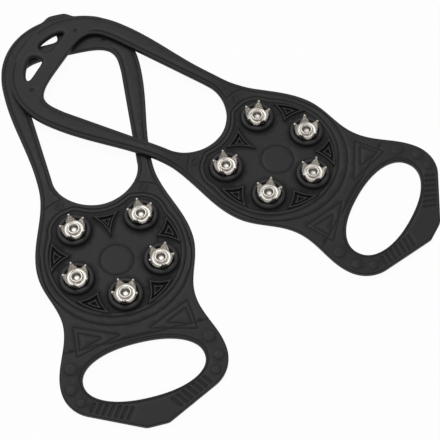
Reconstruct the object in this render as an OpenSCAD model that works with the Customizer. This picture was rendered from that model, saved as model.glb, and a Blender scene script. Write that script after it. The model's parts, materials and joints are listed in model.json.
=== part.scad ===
// A pair of slip-on rubber ice cleats, laid down with their spikes up.
// Each cleat is a studded pad with a toe loop and a long heel loop. Five steel crowns are riveted
// through each pad. The right cleat's heel loop lies over the left one's.
// Sizes are in millimetres and +Z is up. The origin is the middle of the left pad's sole face.
// Each cleat is drawn about its own pad centre, with the toe towards -Y and the heel towards +Y.

/* [Rubber] */
// Thickness of the rubber at the rims, loops and straps
rubber_thick = 3; // [2.4:0.1:4.5]
// Height of the low shoulders along the strap edges
shoulder_high = 2.3; // [1.5:0.1:2.4]
// Width of the low shoulders along the strap edges
shoulder_wide = 1.9; // [0.8:0.1:2.6]
// Depth of the fine moulded lines
line_deep = 0.4; // [0.2:0.05:0.6]
// Width of the fine moulded lines
line_wide = 0.6; // [0.3:0.05:1]
// Height of the small raised discs
disc_high = 0.4; // [0.2:0.05:0.8]

/* [Pad outline] */
// Half width of the pad at its widest
pad_half = 43.8; // [42:0.1:50]
// Where the pad is widest, from its centre towards the heel
pad_wide_y = 3; // [-2:0.5:8]
// Half width of the waist between the pad and the toe loop
waist_half = 36.3; // [34:0.1:42]
// Where the waist is, from the pad centre
waist_y = -31; // [-36:0.5:-26]

/* [Toe loop] */
// Half width of the toe loop
toe_half = 44.7; // [41:0.1:50]
// Where the toe loop is widest
toe_wide_y = -66.7; // [-70:0.1:-62]
// Radius of the toe loop's outer corners
toe_corner = 19.4; // [14:0.1:24]
// Slope of the edges that run to the toe tab, in degrees
toe_slope = 26.3; // [22:0.1:32]
// Distance from the pad centre to the tip of the toe tab
toe_tip = 97.9; // [94:0.1:104]
// Radius of the toe tab's corners
tab_corner = 5; // [2:0.5:6]
// Half width of the hole in the toe loop
toe_hole_half = 32.9; // [26:0.1:34]
// Length of the hole in the toe loop
toe_hole_long = 32.9; // [24:0.1:34]
// Middle of the hole in the toe loop
toe_hole_y = -66.8; // [-68:0.1:-65]
// How square the hole's corners are (2 is an ellipse)
toe_hole_square = 2.2; // [2:0.1:3]
// Distance from the hole's edge to the rim line round it
rim_line_in = 1.7; // [1:0.1:3]
// Grip ribs on each side of the toe tab
rib_count = 7; // [4:1:8]
// Length of each slot between the ribs
rib_long = 5; // [3:0.1:5.4]
// Width of each slot between the ribs
rib_slot = 1.5; // [0.8:0.1:1.8]
// Distance between neighbouring ribs
rib_pitch = 3.3; // [2.8:0.1:3.4]
// Depth of the slots between the ribs
rib_deep = 0.6; // [0.3:0.1:1]
// Outer end of the row of ribs, from the middle
rib_start_x = 33; // [28:0.1:34]
// Outer end of the row of ribs, from the pad centre
rib_start_y = -80.9; // [-82:0.1:-80]
// Slope of the row of ribs, in degrees
rib_slope = 22; // [18:0.5:26]
// Radius of the largest disc on the toe loop's sides
toe_disc_r = 3; // [2:0.1:3.2]
// How much each next disc shrinks
toe_disc_step = 0.4; // [0:0.1:0.8]

/* [Toe triangles] */
// Distance of the triangles' upright side from the middle
triangle_out = 31.5; // [30:0.1:32]
// Upper end of the triangles' upright side
triangle_top = -32.5; // [-34:0.1:-31]
// Lower end of the triangles' upright side
triangle_low = -47.6; // [-49:0.1:-46]
// Distance of the triangles' point from the middle
triangle_in = 8.5; // [6:0.1:12]
// Where the triangles' point is, from the pad centre
triangle_point = -43.4; // [-45:0.1:-42]
// Width of the triangles' lines, as a part of their size
triangle_line = 0.12; // [0.06:0.01:0.16]
// Size of the inner triangles beside the outer ones
triangle_inner = 0.64; // [0.5:0.01:0.75]

/* [Heel loop] */
// Half width across the strap roots
root_half = 32.9; // [31:0.1:36]
// Where the strap roots are, from the pad centre
root_y = 54; // [50:0.5:60]
// Half width of the heel loop at its widest
heel_half = 41; // [38:0.1:46]
// Where the heel loop is widest
heel_wide_y = 126; // [120:0.5:132]
// Distance from the pad centre to the end of the heel loop
heel_tip = 169.5; // [166:0.5:180]
// Radius of the pull tab at the heel end
heel_tab_r = 8; // [6:0.5:12]
// How far the pull tab stands out
heel_tab_out = 3.2; // [1:0.1:5]
// Radius of the small rings at the strap roots
root_ring_r = 2.6; // [1.8:0.1:3]
// Distance of the small rings from the middle
root_ring_x = 24; // [22:0.1:26]
// Lower end of the hole in the heel loop
heel_hole_low = 36.2; // [35.8:0.1:38]
// Half width of the heel hole where its round lower end stops
heel_hole_root_half = 24.6; // [22:0.1:25.5]
// Where the heel hole's round lower end stops
heel_hole_root_y = 58.2; // [56:0.1:62]
// Half width of the heel hole at its wide end
heel_hole_half = 29.1; // [26:0.1:31]
// Where the heel hole starts to close at its wide end
heel_hole_wide_y = 122; // [114:0.5:126]
// Upper end of the hole in the heel loop
heel_hole_high = 144; // [140:0.1:146]
// Inner end of the drop-shaped holes, from the middle
drop_in = 2.8; // [1.5:0.1:5]
// Outer end of the drop-shaped holes, from the middle
drop_out = 22; // [18:0.1:23]
// Lower edge of the drop-shaped holes
drop_low = 151.2; // [150:0.1:153]
// Upper corner of the drop-shaped holes
drop_high = 160.8; // [158:0.1:162]
// Corner radius of the drop-shaped holes
drop_corner = 1.2; // [0.5:0.1:1.6]
// Radius of the small dimples at the heel
dimple_r = 1.1; // [0.6:0.1:1.8]
// Distance of the small dimples from the middle
dimple_x = 24.3; // [22:0.1:26]
// Where the small dimples are along the cleat
dimple_y = 147; // [146:0.1:149]

/* [Pad field] */
// Radius of the sunk field that holds the studs
field_r = 36.4; // [35:0.1:37]
// Centre of the sunk field, from the pad centre
field_y = 4.4; // [3.8:0.1:5]
// Depth of the sunk field
field_deep = 1; // [0.4:0.1:1.4]
// Rubber left between the field and the heel hole
field_heel_band = 5; // [4:0.1:5.6]
// Radius of the field's lobes round the two heel studs
field_lobe = 12.6; // [11.5:0.1:12.8]
// Radius of the inner ring line round the field
ring_1_r = 38.9; // [38:0.1:39.5]
// Centre of the inner ring line
ring_1_y = 3.1; // [2.8:0.1:3.4]
// Radius of the outer ring line round the field
ring_2_r = 41.3; // [40.5:0.1:42]
// Centre of the outer ring line
ring_2_y = 2.1; // [1.8:0.1:2.4]
// Where the ring lines stop towards the heel
ring_end_y = 20; // [10:0.5:22]
// Radius of the circle line in the middle of the field
circle_r = 9.3; // [6:0.1:10]
// Height of the fins above the field
fin_high = 1.1; // [0.5:0.1:1.6]
// Distance of the fins' inner corners from the field's centre
fin_in_r = 25; // [23:0.1:28]
// Gap between the fins and the field's edge
fin_gap = 0.7; // [0.3:0.1:1.5]
// How far the fins' sides curve, as a part of their length
fin_curve = 0.1; // [0:0.01:0.14]
// Width of the fins' raised rim, as a part of their size
fin_rim = 0.3; // [0.2:0.01:0.4]

/* [Studs] */
// Heel studs: distance from the middle line
stud_heel_x = 18.9; // [17.5:0.1:20]
// Heel studs: distance from the pad centre
stud_heel_y = 23.1; // [22.5:0.1:23.6]
// Side studs: distance from the middle line
stud_side_x = 23.4; // [22.6:0.1:24]
// Side studs: distance from the pad centre
stud_side_y = -6.3; // [-7:0.1:-5.6]
// Toe stud: distance from the pad centre
stud_toe_y = -22.2; // [-22.4:0.1:-21.6]
// Radius of the rubber bosses
boss_r = 9.6; // [8.6:0.1:9.8]
// Height of the bosses above the field
boss_high = 3.2; // [2.4:0.1:5]
// Radius of the seat in the boss
seat_r = 6.8; // [6.6:0.1:8.2]
// Depth of the seat in the boss
seat_deep = 1; // [0.5:0.1:1.6]

/* [Crowns] */
// Teeth on each crown
tooth_count = 5; // [3:1:6]
// Radius of the crown's base
crown_r = 5.7; // [5:0.1:6.2]
// Thickness of the crown's steel
crown_thick = 0.9; // [0.6:0.05:1.2]
// Length of a tooth from the crown's underside
tooth_long = 6.3; // [4.5:0.1:9]
// Width of a tooth at its root
tooth_wide = 5.2; // [3:0.1:5.4]
// Width of a tooth near its tip
tooth_tip = 1.1; // [0.7:0.1:1.6]
// Outward lean of the teeth, in degrees
tooth_lean = 15; // [0:1:20]
// Outer radius of the pressed step round the rivet
step_r = 4.2; // [3.9:0.1:4.6]
// Height of the pressed step
step_high = 0.25; // [0.1:0.05:0.5]

/* [Rivets] */
// Radius of the rivet's shank
rivet_r = 2.9; // [2.4:0.05:3]
// Radius of the rivet's hollow end
hollow_r = 2.25; // [1.5:0.05:2.35]
// Depth of the hollow below the rolled edge
hollow_deep = 1.8; // [1:0.1:3]
// Radius of the rolled edge's bead
roll_r = 0.65; // [0.5:0.05:0.8]
// Radius of the rivet's flat head under the pad
head_r = 6; // [5:0.1:7]
// Thickness of the rivet's head
head_thick = 0.8; // [0.5:0.05:1]
// How far the head lies inside the sole face
head_sunk = 0.3; // [0.1:0.05:0.6]

/* [Fits] */
// Gap at the bend lines between pad and loops
bend_gap = 0.3; // [0.2:0.05:0.5]
// Gap between the straps that lie over each other
lie_gap = 0.3; // [0.2:0.05:0.8]
// Running clearance between crown and rivet
turn_gap = 0.05; // [0.02:0.01:0.1]
// Clearance round the rivet's head
head_gap = 0.3; // [0.1:0.05:0.5]

/* [Lay] */
// Turn of the right cleat, in degrees
right_turn = 47; // [46:0.5:48]
// Right pad's centre, across
right_x = 102.2; // [101:0.1:103.5]
// Right pad's centre, along
right_y = 39.1; // [38:0.1:40]
// Sideways sway of the right heel loop, in degrees
right_sway = 1.5; // [0:0.1:2]
// Where the right straps start to rise, past the bend line
rise_start = 2; // [1.8:0.1:2.4]
// Length over which the right straps rise
rise_long = 11.5; // [10:0.1:12]

/* [Hidden] */
$fn = 64;
// How far the bend lines lie from the toe hole and from the strap roots.
toe_bend_in = 0.2;
heel_bend_in = 5;
toe_bend = toe_hole_y + toe_hole_long / 2 - rubber_thick / 2 - toe_bend_in;
heel_bend = root_y - heel_bend_in;
// How far the rings at the strap roots lie from the bend line, and their rim.
root_ring_in = 7.7;
root_ring_rim = 1;
root_ring_y = heel_bend - root_ring_in;
// How square the two ends of the heel hole are, and the heel end itself (2 is an ellipse).
heel_low_square = 1.9;
heel_high_square = 4;
heel_end_square = 2.15;
// Width of the drop-shaped holes' blunt end, and how far its inner corner drops.
drop_blunt = 4;
drop_fall = 1.6;
// Places of the toe loop's discs: in from its widest point, and along from there.
disc_places = [[7.6, 9.8], [5.2, -1.6], [8.7, -10.1]];
// How far the moulded lines stop short of the bend lines.
line_end = 3.5;
// How far raised shapes start below the face they stand on.
root_deep = 0.5;
// Angles round the field's centre between which the side and toe fins lie.
fin_spans = [[-4.5, 24.5], [-73, -41]];
// The heel fin's point and half width.
heel_fin_point = 14.5;
heel_fin_half = 8;
// Sizes of the fins' inner outlines beside the outer one.
fin_step = 0.16;
fin_pit = 0.28;
fin_groove = 1 - fin_rim;
fin_inner = fin_groove - fin_step;
// How the fins' sides curve: outwards above zero, inwards below.
side_sags = [1, -0.8, -0.8];
heel_sags = [-0.3, -0.7, -0.7];
// How sharply the teeth narrow, and how far they start above the crown's underside.
tooth_hollow = 1.8;
tooth_root = 0.1;
// Levels of the pad and its hardware.
field_z = rubber_thick - field_deep;
boss_top = field_z + boss_high;
seat_z = boss_top - seat_deep;
crown_z = seat_z + turn_gap;
head_top = head_sunk + head_thick;
roll_z = crown_z + crown_thick + step_high + turn_gap + roll_r;
bore_r = rivet_r + turn_gap;
// The lift of the right heel loop over the left one.
lift = rubber_thick + lie_gap;
// Taller than anything here, for cuts that pass right through.
tall = 60;
// Longer than any cleat, for cuts across it.
far = 400;
// Crown turns as they lie, in degrees.
left_turns = [26, 20, 56, 37, 29];
right_turns = [43, 20, 37, 13, 17];
// Stud centres: heel left, heel right, side right, toe, side left.
studs = [
    [-stud_heel_x, stud_heel_y],
    [stud_heel_x, stud_heel_y],
    [stud_side_x, stud_side_y],
    [0, stud_toe_y],
    [-stud_side_x, stud_side_y]
];
STUDS = [0 : 4];

// A smooth change from a to b as u goes from 0 to 1.
function ease(a, b, u) = a + (b - a) * (1 - cos(180 * u)) / 2;

// Half width of the cleat's outer edge at y.
function outer_half(y) =
    y < waist_y ? ease(toe_half, waist_half, (y - toe_wide_y) / (waist_y - toe_wide_y)) :
    y < pad_wide_y ? ease(waist_half, pad_half, (y - waist_y) / (pad_wide_y - waist_y)) :
    y < root_y ? ease(pad_half, root_half, (y - pad_wide_y) / (root_y - pad_wide_y)) :
    ease(root_half, heel_half, (y - root_y) / (heel_wide_y - root_y));

function unit(v) = v / norm(v);

// Points of an arc of radius r that rounds the corner p between the points a and b.
function corner_arc(p, a, b, r, n) =
    let (
        u = unit(a - p),
        v = unit(b - p),
        half = acos(u * v) / 2,
        c = p + unit(u + v) * r / sin(half),
        s = p + u * r / tan(half) - c,
        e = p + v * r / tan(half) - c,
        a0 = atan2(s.y, s.x),
        turn = atan2(s.x * e.y - s.y * e.x, s * e)
    )
    [for (i = [0 : n]) c + r * [cos(a0 + turn * i / n), sin(a0 + turn * i / n)]];

// A closed outline with each corner rounded.
function rounded(points, r, n) =
    let (k = len(points))
    [
        for (i = [0 : k - 1])
            each corner_arc(points[i], points[(i + k - 1) % k], points[(i + 1) % k], r, n)
    ];

// Point on a superellipse with half sizes a and b.
function super(a, b, n, t) =
    [a * sign(cos(t)) * pow(abs(cos(t)), 2 / n), b * sign(sin(t)) * pow(abs(sin(t)), 2 / n)];

// A right half outline closed with its mirror image.
function both_sides(half) =
    concat(half, [for (i = [len(half) - 1 : -1 : 0]) if (half[i].x > 0.01) [-half[i].x, half[i].y]]);

// The heel loop's sideways sway: points past the bend line shift across.
function swayed(points, sway) =
    [for (p = points) [p.x - tan(sway) * max(0, p.y - heel_bend), p.y]];

// Right half of the outer outline, drawn in by inset.
function outer_points(inset) =
    let (
        c = [toe_half - toe_corner, toe_wide_y],
        a_end = toe_slope - 90,
        r = toe_corner - inset,
        p = c + r * [cos(a_end), sin(a_end)],
        tip = inset - toe_tip,
        q = [p.x - (p.y - tip) / tan(toe_slope), tip],
        steps = 44
    )
    concat(
        [[0, tip]],
        corner_arc(q, [0, tip], p, tab_corner, 4),
        [for (i = [0 : 8]) c + r * [cos(a_end * (1 - i / 8)), sin(a_end * (1 - i / 8))]],
        [
            for (i = [1 : steps - 1])
                let (y = toe_wide_y + (heel_wide_y - toe_wide_y) * i / steps)
                [outer_half(y) - inset, y]
        ],
        [
            for (t = [0 : 7.5 : 90])
                [0, heel_wide_y]
                    + super(heel_half - inset, heel_tip - heel_wide_y - inset, heel_end_square, t)
        ]
    );

// Right half of the heel hole, grown by outset.
function heel_hole_points(outset) =
    let (
        low = heel_hole_root_y - heel_hole_low,
        high = heel_hole_high - heel_hole_wide_y
    )
    concat(
        [
            for (t = [-90 : 10 : 0])
                [0, heel_hole_root_y]
                    + super(heel_hole_root_half + outset, low + outset, heel_low_square, t)
        ],
        [
            for (t = [0 : 9 : 90])
                [0, heel_hole_wide_y]
                    + super(heel_hole_half + outset, high + outset, heel_high_square, t)
        ]
    );

// The toe hole, grown by outset.
function toe_hole_points(outset) =
    [
        for (t = [0 : 6 : 354])
            [0, toe_hole_y]
                + super(toe_hole_half + outset, toe_hole_long / 2 + outset, toe_hole_square, t)
    ];

// The drop-shaped hole on the right of the heel end.
drop_points = rounded(
    [
        [drop_in, drop_low], [drop_out, drop_low],
        [drop_in + drop_blunt, drop_high], [drop_in, drop_high - drop_fall]
    ],
    drop_corner, 4
);

// A fin's outline: three corners joined by curved sides, shrunk about its middle by k.
function fin_points(corners, sags, k) =
    let (m = (corners[0] + corners[1] + corners[2]) / 3)
    [
        for (j = [0 : 2])
            let (
                a = corners[j],
                b = corners[(j + 1) % 3],
                side = b - a,
                out = [side.y, -side.x] * sags[j] * fin_curve
            )
            for (i = [0 : 5])
                let (u = i / 6)
                m + k * (a + side * u + out * 4 * u * (1 - u) - m)
    ];

// Corners of the right fin that spans the given angles of the field.
function side_fin(span) =
    let (
        r = field_r - fin_gap,
        mid = (span[0] + span[1]) / 2,
        c = [0, field_y]
    )
    [
        c + r * [cos(span[0]), sin(span[0])],
        c + r * [cos(span[1]), sin(span[1])],
        c + fin_in_r * [cos(mid), sin(mid)]
    ];

heel_fin_top = heel_hole_low - field_heel_band - fin_gap;
heel_fin = [[-heel_fin_half, heel_fin_top], [heel_fin_half, heel_fin_top], [0, heel_fin_point]];

// Corners of the engraved triangle beside the toe hole, on the right.
toe_triangle = [
    [triangle_out, triangle_top],
    [triangle_in, triangle_point],
    [triangle_out, triangle_low]
];

// The whole cleat seen from above, with its holes.
module cleat_area(sway) {
    difference() {
        union() {
            polygon(swayed(both_sides(outer_points(0)), sway));
            translate(swayed([[0, heel_tip + heel_tab_out - heel_tab_r]], sway)[0])
                circle(heel_tab_r);
        }
        polygon(swayed(both_sides(heel_hole_points(0)), sway));
        polygon(toe_hole_points(0));
        polygon(swayed(drop_points, sway));
        polygon(swayed([for (p = drop_points) [-p.x, p.y]], sway));
    }
}

// The part of the plan between two lines across the cleat.
module between(y0, y1) {
    translate([-far / 2, y0])
        square([far, y1 - y0]);
}

// A low disc on the rubber's upper face.
module raised_disc(r) {
    translate([0, 0, rubber_thick - root_deep])
        cylinder(r = r, h = disc_high + root_deep);
}

// The rounded edge of a loop at its bend line.
module bend_edge(y) {
    intersection() {
        translate([0, y, rubber_thick / 2])
            rotate([0, 90, 0])
                cylinder(r = rubber_thick / 2, h = far, center = true);
        linear_extrude(rubber_thick)
            cleat_area(0);
    }
}

// A thin ring line of radius r round a point on the middle line.
module ring_line(r, y) {
    difference() {
        translate([0, y])
            circle(r + line_wide / 2);
        translate([0, y])
            circle(r - line_wide / 2);
    }
}

// The sunk field that holds the studs.
module field_area() {
    low = heel_hole_root_y - heel_hole_low;
    difference() {
        union() {
            translate([0, field_y])
                circle(field_r);
            for (side = [-1, 1])
                translate([side * stud_heel_x, stud_heel_y])
                    circle(field_lobe);
        }
        translate([0, heel_hole_root_y])
            circle(low + field_heel_band);
    }
}

// A raised fin: rim, groove, small inner rim and pit.
module fin(corners, sags) {
    translate([0, 0, field_z - root_deep])
        linear_extrude(fin_high + root_deep)
            difference() {
                polygon(fin_points(corners, sags, 1));
                difference() {
                    polygon(fin_points(corners, sags, fin_groove));
                    polygon(fin_points(corners, sags, fin_inner));
                }
                polygon(fin_points(corners, sags, fin_pit));
            }
}

// An engraved double outline of a triangle.
module triangle_lines(corners) {
    straight = [0, 0, 0];
    for (k = [1, triangle_inner])
        difference() {
            polygon(fin_points(corners, straight, k));
            polygon(fin_points(corners, straight, k - triangle_line));
        }
}

// Everything that is cut into the pad's upper face as fine lines.
module pad_lines() {
    intersection() {
        union() {
            ring_line(ring_1_r, ring_1_y);
            ring_line(ring_2_r, ring_2_y);
        }
        between(-far / 2, ring_end_y);
    }
    triangle_lines(toe_triangle);
    mirror([1, 0])
        triangle_lines(toe_triangle);
    difference() {
        polygon(toe_hole_points(rim_line_in + line_wide));
        polygon(toe_hole_points(rim_line_in));
    }
    intersection() {
        ring_line(heel_hole_root_y - heel_hole_low + field_heel_band / 2, heel_hole_root_y);
        between(0, heel_bend - line_end);
    }
}

// The studded pad.
module pad() {
    low_y = toe_bend + rubber_thick / 2 + bend_gap;
    high_y = heel_bend - rubber_thick / 2 - bend_gap;
    color([0.06, 0.06, 0.06])
        difference() {
            union() {
                difference() {
                    linear_extrude(rubber_thick)
                        intersection() {
                            cleat_area(0);
                            between(low_y, high_y);
                        }
                    translate([0, 0, field_z])
                        linear_extrude(tall)
                            field_area();
                    translate([0, 0, rubber_thick - line_deep])
                        linear_extrude(tall)
                            difference() {
                                pad_lines();
                                translate([0, field_y])
                                    circle(field_r);
                            }
                    translate([0, 0, field_z - line_deep])
                        linear_extrude(tall)
                            ring_line(circle_r, 0);
                }
                for (s = studs)
                    translate([s.x, s.y, field_z - root_deep])
                        cylinder(r = boss_r, h = boss_high + root_deep);
                fin(heel_fin, heel_sags);
                for (side = [0, 1], span = fin_spans)
                    mirror([side, 0])
                        fin(side_fin(span), side_sags);
                for (side = [-1, 1])
                    translate([side * root_ring_x, root_ring_y, 0])
                        raised_disc(root_ring_r);
            }
            for (s = studs)
                translate(s) {
                    translate([0, 0, seat_z])
                        cylinder(r = seat_r, h = tall);
                    translate([0, 0, -tall / 2])
                        cylinder(r = bore_r, h = tall);
                    translate([0, 0, -tall + head_top])
                        cylinder(r = head_r + head_gap, h = tall);
                }
            for (side = [-1, 1])
                translate([side * root_ring_x, root_ring_y, rubber_thick])
                    cylinder(r = root_ring_r - root_ring_rim, h = tall);
        }
}

// Grip ribs on the right of the toe tab: slots along the slanting edge.
module rib_slots() {
    for (i = [0 : rib_count - 1])
        translate([rib_start_x, rib_start_y, rubber_thick - rib_deep])
            rotate(rib_slope)
                translate([-i * rib_pitch - rib_slot, -rib_long / 2, 0])
                    cube([rib_slot, rib_long, tall]);
}

// The toe loop.
module toe_loop() {
    color([0.07, 0.07, 0.07])
        difference() {
            union() {
                linear_extrude(rubber_thick)
                    intersection() {
                        cleat_area(0);
                        between(-far, toe_bend);
                    }
                bend_edge(toe_bend);
                for (side = [-1, 1], i = [0 : 2])
                    translate([side * (toe_half - disc_places[i].x), toe_wide_y + disc_places[i].y, 0])
                        raised_disc(toe_disc_r - i * toe_disc_step);
            }
            translate([0, 0, rubber_thick - line_deep])
                linear_extrude(tall)
                    difference() {
                        polygon(toe_hole_points(rim_line_in + line_wide));
                        polygon(toe_hole_points(rim_line_in));
                        between(toe_bend - line_end, far);
                    }
            rib_slots();
            mirror([1, 0, 0])
                rib_slots();
        }
}

// The space between two heights of the heel loop, which rises by up past the bend line.
module heel_layer(low, high, up) {
    y0 = heel_bend;
    y1 = heel_bend + rise_start;
    y2 = y1 + rise_long;
    y3 = far;
    rotate([90, 0, 90])
        translate([0, 0, -far / 2])
            linear_extrude(far)
                polygon([
                    [y0, low], [y1, low], [y2, low + up], [y3, low + up],
                    [y3, high + up], [y2, high + up], [y1, high], [y0, high]
                ]);
}

// The heel loop, lying flat or raised by up, and swayed to one side.
module heel_loop(up, sway) {
    color([0.065, 0.065, 0.065])
        difference() {
            union() {
                intersection() {
                    linear_extrude(tall)
                        intersection() {
                            cleat_area(sway);
                            between(heel_bend, far);
                        }
                    heel_layer(0, rubber_thick, up);
                }
                bend_edge(heel_bend);
            }
            intersection() {
                linear_extrude(tall)
                    difference() {
                        between(heel_bend + rubber_thick, far);
                        difference() {
                            polygon(swayed(both_sides(outer_points(shoulder_wide)), sway));
                            polygon(swayed(both_sides(heel_hole_points(shoulder_wide)), sway));
                        }
                    }
                heel_layer(shoulder_high, tall, up);
            }
            for (side = [-1, 1])
                translate(swayed([[side * dimple_x, dimple_y]], sway)[0])
                    translate([0, 0, up + rubber_thick - line_deep])
                        cylinder(r = dimple_r, h = tall);
        }
}

// One tooth, flat, standing along Y from the crown's underside.
module tooth_shape() {
    steps = 8;
    tip = tooth_tip / 2;
    side = [
        for (i = [0 : steps])
            let (u = i / steps)
            [tip + (tooth_wide / 2 - tip) * pow(1 - u, tooth_hollow), u * (tooth_long - tip)]
    ];
    polygon(concat(side, [for (i = [steps : -1 : 0]) [-side[i].x, side[i].y]]));
    translate([0, tooth_long - tip])
        circle(tip);
}

// A crown with its teeth up, on the seat of its boss.
module crown(turn) {
    color([0.8, 0.78, 0.72])
        translate([0, 0, crown_z])
            rotate(turn)
                difference() {
                    union() {
                        cylinder(r = crown_r, h = crown_thick);
                        cylinder(r = step_r, h = crown_thick + step_high);
                        for (i = [0 : tooth_count - 1])
                            rotate(i * 360 / tooth_count)
                                translate([crown_r - crown_thick, 0, tooth_root])
                                    rotate([0, tooth_lean, 0])
                                        rotate([90, 0, 90])
                                            linear_extrude(crown_thick)
                                                tooth_shape();
                    }
                    translate([0, 0, -tall / 2])
                        cylinder(r = bore_r, h = tall);
                    translate([0, 0, -tall])
                        cylinder(r = tall, h = tall);
                }
}

// A rivet: flat head under the pad, shank, and a hollow end rolled over the crown.
module rivet() {
    color([0.72, 0.7, 0.66])
        difference() {
            union() {
                translate([0, 0, head_sunk])
                    cylinder(r = head_r, h = head_thick);
                translate([0, 0, head_sunk])
                    cylinder(r = rivet_r, h = roll_z - head_sunk);
                translate([0, 0, roll_z])
                    rotate_extrude()
                        translate([rivet_r, 0])
                            circle(roll_r);
            }
            translate([0, 0, roll_z - hollow_deep])
                cylinder(r = hollow_r, h = tall);
        }
}

module lay_right() {
    translate([right_x, right_y, 0])
        rotate(right_turn)
            children();
}

pad();  // left_pad
toe_loop();  // left_toe_loop
heel_loop(0, 0);  // left_heel_loop
for (i = STUDS) {
    translate(studs[i]) crown(left_turns[i]);
    translate(studs[i]) rivet();
}
lay_right() pad();  // right_pad
lay_right() toe_loop();  // right_toe_loop
lay_right() heel_loop(lift, right_sway);  // right_heel_loop
for (i = STUDS) {
    lay_right() translate(studs[i]) crown(right_turns[i]);
    lay_right() translate(studs[i]) rivet();
}
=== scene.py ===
# %% [markdown]
# # A pair of slip-on ice cleats
#
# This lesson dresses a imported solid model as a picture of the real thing: two black rubber cleats
# laid spikes up, each with five steel crowns riveted through its pad. The solid model is the frame.
# It fixes where every piece is and how it moves, and nothing here moves it.

# %% Load the solid model
import json
import math

import bmesh
import bpy
import numpy as np
from mathutils import Matrix, Vector
from mathutils.geometry import delaunay_2d_cdt
from mathutils.kdtree import KDTree


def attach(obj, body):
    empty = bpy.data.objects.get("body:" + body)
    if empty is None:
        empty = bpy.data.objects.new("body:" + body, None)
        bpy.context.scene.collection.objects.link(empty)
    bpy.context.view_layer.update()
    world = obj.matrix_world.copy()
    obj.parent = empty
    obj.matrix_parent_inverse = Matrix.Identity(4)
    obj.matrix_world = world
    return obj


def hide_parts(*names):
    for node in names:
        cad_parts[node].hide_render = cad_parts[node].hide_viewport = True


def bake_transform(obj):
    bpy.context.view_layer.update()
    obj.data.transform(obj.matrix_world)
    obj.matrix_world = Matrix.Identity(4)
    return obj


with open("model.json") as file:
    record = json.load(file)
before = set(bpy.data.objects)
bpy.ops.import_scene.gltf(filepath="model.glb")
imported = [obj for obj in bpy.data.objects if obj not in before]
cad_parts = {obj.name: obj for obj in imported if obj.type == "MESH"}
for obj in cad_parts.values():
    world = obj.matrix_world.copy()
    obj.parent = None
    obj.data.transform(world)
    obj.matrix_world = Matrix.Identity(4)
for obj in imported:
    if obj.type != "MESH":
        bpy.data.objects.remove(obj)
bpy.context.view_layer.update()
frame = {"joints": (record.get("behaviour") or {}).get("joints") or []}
MM = 0.001

# %% [markdown]
# ## Where the two cleats lie
#
# Both cleats come from one mould, so the rubber is built once, flat, about its own pad's middle, with
# the toe towards -Y and the heel towards +Y. The hinges of the frame then say where each cleat lies:
# a heel hinge runs across its cleat, so its axis gives the turn and its point gives the place. The left
# cleat lies along the frame's own axes, so its joints also give the bend lines and the five studs.

# %% Read the hinges
joint = {j["name"]: j for j in frame["joints"]}
HEEL_BEND = joint["left_heel_fold"]["pos_m"][1] / MM


def cleat_place(side):
    """A matrix that carries the flat cleat, in millimetres, to where this one lies."""
    hinge = joint[side + "_heel_fold"]
    turn = math.atan2(hinge["axis"][1], hinge["axis"][0])
    spin = Matrix.Rotation(turn, 4, "Z")
    middle = Vector(hinge["pos_m"]) - spin @ Vector((0, HEEL_BEND * MM, hinge["pos_m"][2]))
    return Matrix.Translation(middle) @ spin @ Matrix.Scale(MM, 4)


PLACES = {side: cleat_place(side) for side in ("left", "right")}
STUDS = [Vector(joint[f"left_crown_{i}_turn"]["pos_m"][:2]) / MM for i in range(1, 6)]
print("right pad:", PLACES["right"].to_translation())

# %% [markdown]
# ## The camera
#
# The photograph looks down from about 61 degrees with a long lens. The view was found by fitting the
# studs and the outline, and is given here as a point that it looks at, a heading, a height and a small
# roll. A long lens from three quarters of a metre keeps the far cleat almost as large as the near one.

# %% Make the camera
FOCUS = Vector((60.93, 10.73, 0)) * MM
HEADING, HEIGHT, ROLL = (math.radians(a) for a in (-13.52, 61.01, 1.295))
DISTANCE, LENS_PIXELS, FRAME_PIXELS = 0.75025, 1350.4, 440
SENSOR, NEAREST = 36, 0.05


def add(name, data):
    """A new object in the scene."""
    made = bpy.data.objects.new(name, data)
    bpy.context.scene.collection.objects.link(made)
    return made


camera = add("camera", bpy.data.cameras.new("camera"))
camera.data.sensor_width = SENSOR
camera.data.lens = LENS_PIXELS / FRAME_PIXELS * SENSOR
camera.data.clip_start = NEAREST
aim = Matrix.Rotation(HEADING, 4, "Z") @ Matrix.Rotation(math.pi / 2 - HEIGHT, 4, "X")
camera.matrix_world = (
    Matrix.Translation(FOCUS) @ aim @ Matrix.Translation((0, 0, DISTANCE)) @ Matrix.Rotation(-ROLL, 4, "Z")
)
bpy.context.scene.camera = camera
print("lens:", round(camera.data.lens, 1), "mm at", [round(c, 3) for c in camera.matrix_world.translation])

# %% [markdown]
# ## Shader maths as Python
#
# A material in Blender is a graph of nodes. Writing it as sums reads better than wiring it by hand, so
# this small class wraps a socket: adding or multiplying two of them adds a Math node, and `make` adds
# any other node with its settings first and its sockets after.


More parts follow.
